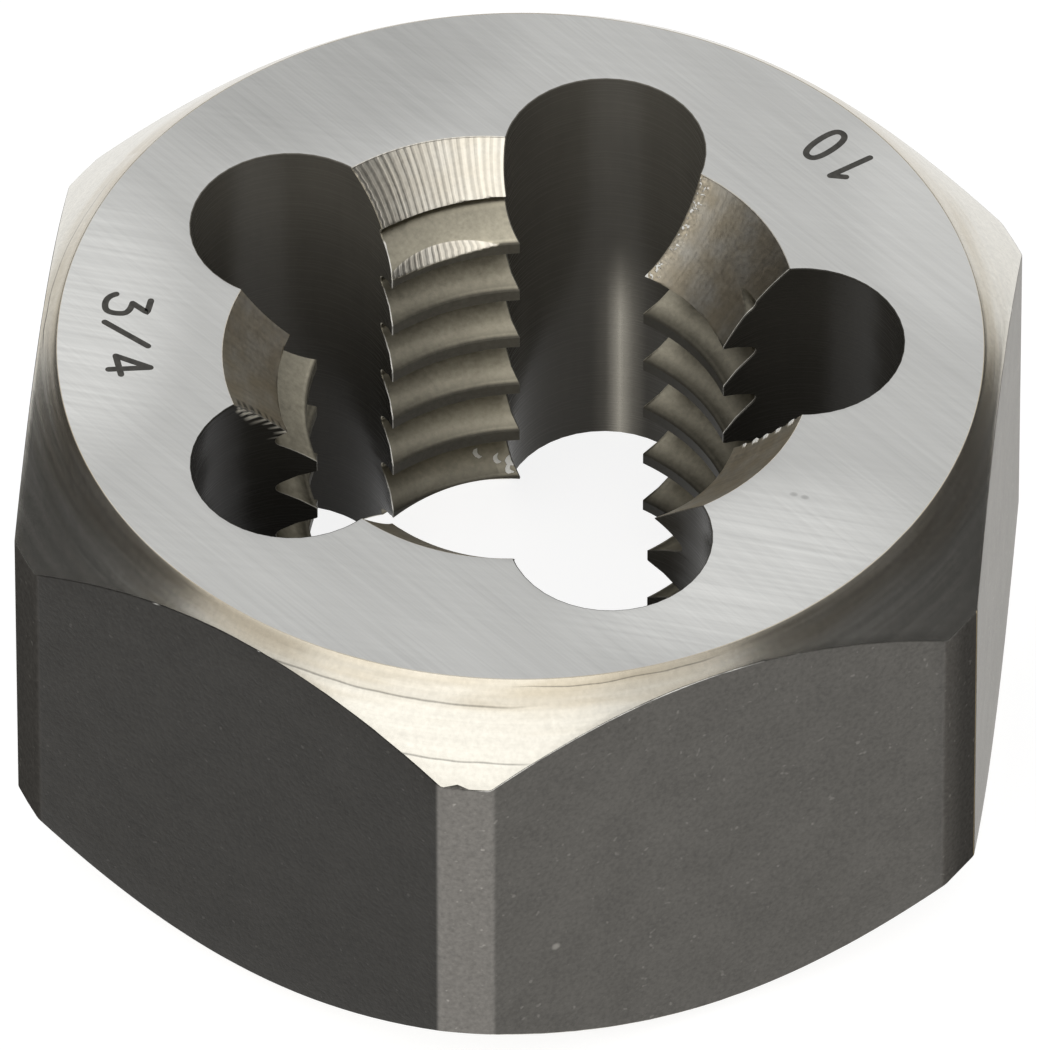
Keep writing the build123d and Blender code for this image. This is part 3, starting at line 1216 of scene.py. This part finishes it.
@dataclass(frozen=True)
class CutSteel:
    """The lands: a ground lead with chatter ridges, brown-grey thread flanks, and cutting edges with painted
    highlights.
    """

    lead_colour: Colour = (0.56, 0.54, 0.49)
    lead_stain: Colour = (0.47, 0.41, 0.31)
    flank_colour: Colour = (0.33, 0.305, 0.24)
    edge_colour: Colour = (0.8, 0.78, 0.73)
    burr_colour: Colour = (0.9, 0.89, 0.85)
    specular: float = 0.1
    ridges: float = 20.0
    gritty_x: tuple[float, float] = (-1.0, 7.0)
    flakes: tuple[tuple[float, float, float, float], ...] = (
        (-6.5, 6.3, 4.02, 0.27),
        (-5.8, 6.57, 3.9, 0.24),
        (-5.72, 6.35, 3.55, 0.2),
        (-5.3, 6.75, 4.0, 0.3),
        (-5.2, 6.55, 3.72, 0.24),
        (0.1, 8.14, 16.0, 0.26),
    )
    curl: tuple[float, float, float] = (0.09, 0.06, 0.1)

    def material(self) -> bpy.types.Material:
        """Makes the finish from the facts on the mesh: what the lead cut, how deep, how near an edge, and
        painted light and shade.
        """
        b = Bench.metal("cut_steel", self.specular)
        place = b.place()
        x, y, z = place
        over, across, depth = b.fact("over"), b.fact("across"), b.fact("depth")
        edge, chatter, broken, torn = b.fact("edge"), b.fact("chatter"), b.fact("burr"), b.fact("torn")
        here = b.vector(x, y, z)
        grain = b.noise(here, 5.0, 4.0, 0.6)
        grit = b.noise(here, 9.0, 2.0)
        patches = b.noise(here, 0.9, 3.0)
        drift = b.noise(b.vector(across * 5.0, z * 0.05, 0.0), 1.0, 1.0)
        wave = ((across * self.ridges + 0.5 * drift) * (2.0 * math.pi)).sine()
        scrape = b.noise(b.vector(across * 55.0, z * 0.3, 0.0), 1.0, 1.0)
        ridge = (wave.rise(-1.0, 0.6) - 0.5) * 1.4 + 0.4 * scrape
        lead = over.rise(0.0, 0.02)
        stained = patches.rise(-1.2, 0.6) * (1.0 - 0.7 * chatter)
        start, end = self.gritty_x
        gritty = x.rise(end, end - 0.5) * x.rise(start - 0.5, start) * across.rise(0.84, 1.0) * lead
        streaks = b.noise(b.vector(across * 14.0, z * 0.1, x * 0.02), 1.0, 2.0)
        lead_tone = 1.0 + 0.14 * grain + 0.1 * streaks + ridge * chatter * (0.16 + 0.14 * across)
        lead_tone = lead_tone + 0.6 * gritty * grit - 0.7 * torn
        # Painted highlight along each thread's crest edge (lip), and painted shade deeper towards the root
        # (sunk).
        lip = depth.rise(0.02, 0.06) * depth.rise(0.14, 0.08)
        sunk = 1.15 - 0.35 * depth + lip * (0.6 - 0.5 * across)
        flank_tone = (1.0 + 0.25 * grain + 0.1 * patches) * sunk
        flank_tone = flank_tone * (1.0 - 0.25 * z.rise(4.9, 3.9))
        lead_colour = b.mix(stained, b.tint(self.lead_colour, lead_tone), b.tint(self.lead_stain, lead_tone))
        colour = b.mix(lead, b.tint(self.flank_colour, flank_tone), lead_colour)
        # Painted light and shade for each land, from the tone fact.
        colour = b.tint(colour, b.fact("tone"))
        # Painted highlights on the cutting edges and the bore's rims.
        bright = edge.rise(0.3, 0.9)
        colour = b.mix(bright, colour, b.tint(self.edge_colour, 1.0 + 0.3 * grain))
        burr = broken + gritty * b.noise(here, 6.0, 2.0).rise(0.15, 0.5)
        ragged = 0.35 * b.noise(here, 5.5, 3.0)
        for *centre, reach in self.flakes:
            hollow = [a + c for a, c in zip(centre, self.curl)]
            curl = b.ball(place, centre, reach) - 1.5 * b.ball(place, hollow, 0.8 * reach)
            burr = burr + (curl + ragged).rise(0.2, 0.35) * b.ball(place, centre, 2.0 * reach).rise(0.4, 0.6)
        burr = burr.rise(0.2, 0.8)
        colour = b.mix(burr, colour, b.tint(self.burr_colour, 1.0 + 0.1 * grain))
        dull = depth.rise(0.12, 0.02) * (1.0 - lead)
        scaled = (0.8 * burr).math("MAXIMUM", 0.5 * bright).math("MAXIMUM", dull)
        b.feed(b.shader.inputs["Metallic"], 1.0 - scaled)
        height = 0.5 * grain + ridge * chatter * lead + 7.0 * burr
        return b.finish(colour, 0.42 - 0.1 * lead * chatter + 0.06 * grain, height, 0.004)


@dataclass(frozen=True)
class EtchedMark:
    """The etched size numbers: dull dark grey."""

    colour: Colour = (0.075, 0.072, 0.065)
    metallic: float = 0.6

    def material(self) -> bpy.types.Material:
        """Makes the finish: a little lighter where the etching is thin."""
        b = Bench.metal("etched_mark", metallic=self.metallic)
        x, y, z = b.place()
        patchy = b.noise(b.vector(x, y, z), 4.0, 3.0)
        return b.finish(b.tint(self.colour, 1.0 + 0.45 * patchy), 0.6 + 0.05 * patchy)


class Run(Enum):
    """How a stroke goes through its points."""

    STRAIGHT = 0
    ROUND = 1
    LOOP = 2


@dataclass(frozen=True)
class Stroke:
    """One stroke of a number, through points in millimetres from the middle of the number's foot."""

    points: tuple[tuple[float, float], ...]
    run: Run = Run.STRAIGHT


ZERO = (
    (-0.36, 0.5),
    (-0.36, 1.3),
    (-0.2, 1.79),
    (0.2, 1.79),
    (0.36, 1.3),
    (0.36, 0.5),
    (0.2, 0.02),
    (-0.2, 0.02),
)
THREE_FOOT = ((-0.08, 1.04), (0.45, 1.0), (0.55, 0.45), (0.4, 0.02), (-0.3, 0.02), (-0.47, 0.36))
NUMBER_STROKES: dict[str, tuple[Stroke, ...]] = {
    "0": (Stroke(ZERO, Run.LOOP),),
    "1": (Stroke(((0.0, 0.03), (0.13, 1.8))), Stroke(((0.13, 1.8), (-0.28, 1.37)))),
    "3": (Stroke(((-0.3, 1.7), (0.33, 1.65), (-0.08, 1.04))), Stroke(THREE_FOOT, Run.ROUND)),
    "4": (
        Stroke(((0.14, 0.25), (0.17, 1.82))),
        Stroke(((0.17, 1.82), (-0.54, 0.57))),
        Stroke(((-0.54, 0.57), (0.44, 0.7))),
    ),
    "/": (Stroke(((-0.63, 0.12), (0.58, 1.79))),),
}


@dataclass
class SizeMarks:
    """The size numbers etched in the front face, each stroke a low closed ribbon with round ends."""

    sizes: DieSizes
    stroke_width: float = 0.25
    top_gap: float = 0.0015
    stack_step: float = 0.0005
    sunk: float = 0.05
    end_turns: tuple[float, ...] = (80.0, 55.0, 28.0)
    curve_points: int = 8
    places: tuple[tuple[str, float, float], ...] = (
        ("3", 207.9, 15.75),
        ("/", 214.0, 15.75),
        ("4", 220.3, 15.75),
        ("1", 72.2, 16.42),
        ("0", 77.9, 16.42),
    )

    def line(self, stroke: Stroke) -> np.ndarray:
        """Points along a stroke: straight runs, or quadratic curves between the middles of the runs.

        Formula: a curve goes from the middle of one run to the middle of the next, drawn towards the point
        between them: (1-t) squared A + 2t(1-t) C + t squared B.

        Args:
            stroke: The stroke.

        Returns:
            Its points as rows. A loop's last point isn't its first one again.
        """
        points = np.array(stroke.points)
        t = np.linspace(0.0, 1.0, self.curve_points + 1)[:-1, None]
        if stroke.run == Run.STRAIGHT:
            runs = [a + (b - a) * t for a, b in zip(points[:-1], points[1:])]
            return np.concatenate(runs + [points[-1:]])
        if stroke.run == Run.LOOP:
            points = np.concatenate([points[-1:], points, points[:1]])
        middles = (points[:-1] + points[1:]) / 2
        if stroke.run == Run.ROUND:
            middles[0], middles[-1] = points[0], points[-1]
        curves = [
            (1 - t) ** 2 * a + 2 * t * (1 - t) * c + t * t * b
            for a, c, b in zip(middles[:-1], points[1:-1], middles[1:])
        ]
        return np.concatenate(curves + ([middles[-1:]] if stroke.run == Run.ROUND else []))

    def sides(self, line: np.ndarray, loop: bool) -> tuple[np.ndarray, np.ndarray]:
        """Both sides of a stroke: half a width from its line, with half circles round its ends.

        Args:
            line: Points of the stroke in millimetres.
            loop: True where its end meets its start.

        Returns:
            Points of the left side and of the right side.
        """
        half = self.stroke_width / 2
        way = np.roll(line, -1, 0) - np.roll(line, 1, 0) if loop else np.gradient(line, axis=0)
        way /= np.linalg.norm(way, axis=1, keepdims=True)
        side = np.stack([-way[:, 1], way[:, 0]], axis=1)
        if loop:
            return line + side * half, line - side * half
        turn, n = np.radians(self.end_turns)[:, None], len(self.end_turns)
        start = line[0] - way[0] * half * np.sin(turn)
        end = line[-1] + way[-1] * half * np.sin(turn[::-1])
        middle = np.concatenate([start, line, end])
        taper = half * np.cos(turn)
        reach = np.concatenate([taper, np.full((len(line), 1), half), taper[::-1]])
        across = np.concatenate([np.repeat(side[:1], n, 0), side, np.repeat(side[-1:], n, 0)])
        return middle + across * reach, middle - across * reach

    def ribbon_faces(self, start: int, n: int, loop: bool) -> list[np.ndarray]:
        """Faces of one ribbon: its top, its underside, its two sides, and its ends where it has any.

        Args:
            start: Number of its first point.
            n: Points on one side.
            loop: True where it has no ends.

        Returns:
            Quads as rows of four points.
        """
        i = np.arange(n if loop else n - 1)
        j = (i + 1) % n
        corners = [(i, j, j + n, i + n), (i + 2 * n, i + 3 * n, j + 3 * n, j + 2 * n)]
        corners += [(i, i + 2 * n, j + 2 * n, j), (i + n, j + n, j + 3 * n, i + 3 * n)]
        faces = [np.column_stack(quad) + start for quad in corners]
        if not loop:
            last = n - 1
            ends = [(0, n, 3 * n, 2 * n), (last, last + 2 * n, last + 3 * n, last + n)]
            faces.append(np.array(ends) + start)
        return faces

    def build(self) -> bpy.types.Object:
        """Makes every stroke of every number and joins them in one mesh.

        Returns:
            The finished object.
        """
        points, faces, count, top = [], [], 0, self.sizes.thickness - self.top_gap
        for number, angle, radius in self.places:
            turn = math.radians(angle)
            out = np.array([math.cos(turn), math.sin(turn)])
            reading = np.array([-out[1], out[0]])
            for stack, stroke in enumerate(NUMBER_STROKES[number]):
                flat, loop = self.line(stroke), stroke.run == Run.LOOP
                line = out * radius + flat[:, :1] * reading - flat[:, 1:] * out
                left, right = self.sides(line, loop)
                n = len(left)
                for z in (top - stack * self.stack_step, top - self.sunk):
                    points += [np.column_stack([side, np.full(n, z)]) for side in (left, right)]
                faces += self.ribbon_faces(count, n, loop)
                count += 4 * n
        mesh = bpy.data.meshes.new("size_marks")
        mesh.from_pydata((np.concatenate(points) * MM).tolist(), [], np.concatenate(faces)[:, ::-1].tolist())
        mesh.update()
        return placed("size_marks", mesh)


@dataclass(frozen=True)
class Studio:
    """A white floor, a room that is dim at the sides and bright above and behind, and a large soft box."""

    floor_half: float = 6.0
    floor_colour: float = 0.3
    floor_lift: float = 0.84
    ceiling: float = 1.0
    horizon: float = 0.055
    ceiling_from: float = 0.42
    ceiling_to: float = 0.9
    back_angle: float = 125.8
    back_share: float = 0.3
    box_angle: float = 290.0
    box_elevation: float = 44.0
    box_distance: float = 2.4
    box_colour: Colour = (1.0, 0.985, 0.95)
    panel_gap: float = 0.02
    box_panels: tuple[tuple[float, float, float], ...] = ((5.4, 2.0, 0.83), (2.2, 1.7, 0.6))

    def build(self) -> None:
        """Makes the room, the soft box and the floor."""
        self.room()
        self.soft_box()
        self.floor()

    def room(self) -> None:
        """Lights the scene from the world.

        Formula: the level steps smoothly from the horizon's to the ceiling's over a direction's height
        plus a share of how far it points to the back.
        """
        world = bpy.data.worlds.new("studio_room")
        b = Bench(world, "Background", {"Color": (1.0, 1.0, 1.0, 1.0)})
        x, y, z = b.split("Generated")
        back = math.radians(self.back_angle)
        height = z + x * (math.cos(back) * self.back_share) + y * (math.sin(back) * self.back_share)
        risen = height.rise(self.ceiling_from, self.ceiling_to)
        b.feed(b.shader.inputs["Strength"], risen * (self.ceiling - self.horizon) + self.horizon)
        bpy.context.scene.world = world

    def soft_box(self) -> None:
        """Hangs the soft box: a wide panel and a brighter middle one. Power is level times pi times area."""
        a, e = math.radians(self.box_angle), math.radians(self.box_elevation)
        way = Vector((math.cos(a) * math.cos(e), math.sin(a) * math.cos(e), math.sin(e)))
        for number, (width, height, level) in enumerate(self.box_panels):
            light = bpy.data.lights.new("soft_box", "AREA")
            light.shape = "RECTANGLE"
            light.size, light.size_y = width, height
            light.energy = level * math.pi * width * height
            light.color = self.box_colour
            box = placed("soft_box", light)
            box.location = way * (self.box_distance - self.panel_gap * number)
            box.rotation_mode = "QUATERNION"
            box.rotation_quaternion = (-way).to_track_quat("-Z", "Y")
            box.visible_camera = False

    def floor(self) -> None:
        """Lays the floor, which the camera and the metal see a good deal whiter than the lamps make it."""
        h = self.floor_half
        mesh = bpy.data.meshes.new("floor")
        mesh.from_pydata([(-h, -h, 0.0), (h, -h, 0.0), (h, h, 0.0), (-h, h, 0.0)], [], [(0, 1, 2, 3)])
        floor = placed("floor", mesh)
        constants = {"Roughness": 0.9, "Specular IOR Level": 0.0, "Emission Strength": 1.0}
        b = Bench(bpy.data.materials.new("floor_paper"), "Principled BSDF", constants)
        rays = b.node("ShaderNodeLightPath").outputs
        camera, glossy = Value(b, rays["Is Camera Ray"]), Value(b, rays["Is Glossy Ray"])
        seen = camera + glossy + Value(b, rays["Is Transmission Ray"])
        b.feed(b.shader.inputs["Emission Color"], b.tint((self.floor_lift,) * 3, seen))
        mesh.materials.append(b.finish((*(self.floor_colour,) * 3, 1.0), None))


@dataclass(frozen=True)
class PhotoCamera:
    """The camera of the photograph: a long lens, high and to the left of the front."""

    azimuth: float = 35.784
    elevation: float = 46.224
    roll: float = 0.038
    distance: float = 1295.685
    focal_px: float = 34318.26
    long_side_px: float = 1050.0
    sensor_width: float = 36.0
    clip: tuple[float, float] = (0.05, 20.0)
    aim_height: float = 8.0
    aim_up: float = 0.926
    aim_left: float = 0.074

    def build(self) -> bpy.types.Object:
        """Makes the scene's camera.

        Returns:
            The camera, aimed without any shift.
        """
        a, e = math.radians(self.azimuth), math.radians(self.elevation)
        back = Vector((math.sin(a) * math.cos(e), -math.cos(a) * math.cos(e), math.sin(e)))
        right = Vector((math.cos(a), math.sin(a), 0.0))
        up = back.cross(right)
        aim = Vector((0.0, 0.0, self.aim_height))
        place, target = aim + back * self.distance, aim + up * self.aim_up - right * self.aim_left
        data = bpy.data.cameras.new("photo_camera")
        data.sensor_width = self.sensor_width
        data.lens = self.focal_px * self.sensor_width / self.long_side_px
        data.clip_start, data.clip_end = self.clip
        camera = placed("photo_camera", data)
        camera.location = place * MM
        camera.rotation_mode = "QUATERNION"
        look = (target - place).normalized()
        roll = Quaternion(look, math.radians(self.roll))
        camera.rotation_quaternion = roll @ look.to_track_quat("-Z", "Y")
        bpy.context.scene.camera = camera
        return camera


def main() -> None:
    """Builds the die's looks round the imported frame."""
    logging.basicConfig(level=logging.INFO, format="%(name)s: %(message)s")
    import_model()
    bpy.context.scene.view_settings.view_transform = "Standard"
    PhotoCamera().build()
    Studio().build()
    body = DieSurface().build()
    for finish in (GroundSteel(), TurnedSteel(), DarkFlat(), FluteSteel(), CutSteel()):
        body.data.materials.append(finish.material())
    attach(body, "root")
    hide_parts("die_body")
    log.info("%s: %d triangles", body.name, 2 * len(body.data.polygons))
    marks = SizeMarks(DieSizes()).build()
    marks.data.materials.append(EtchedMark().material())
    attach(marks, "root")
    log.info("%s: %d faces", marks.name, len(marks.data.polygons))


if __name__ == "__main__":
    main()
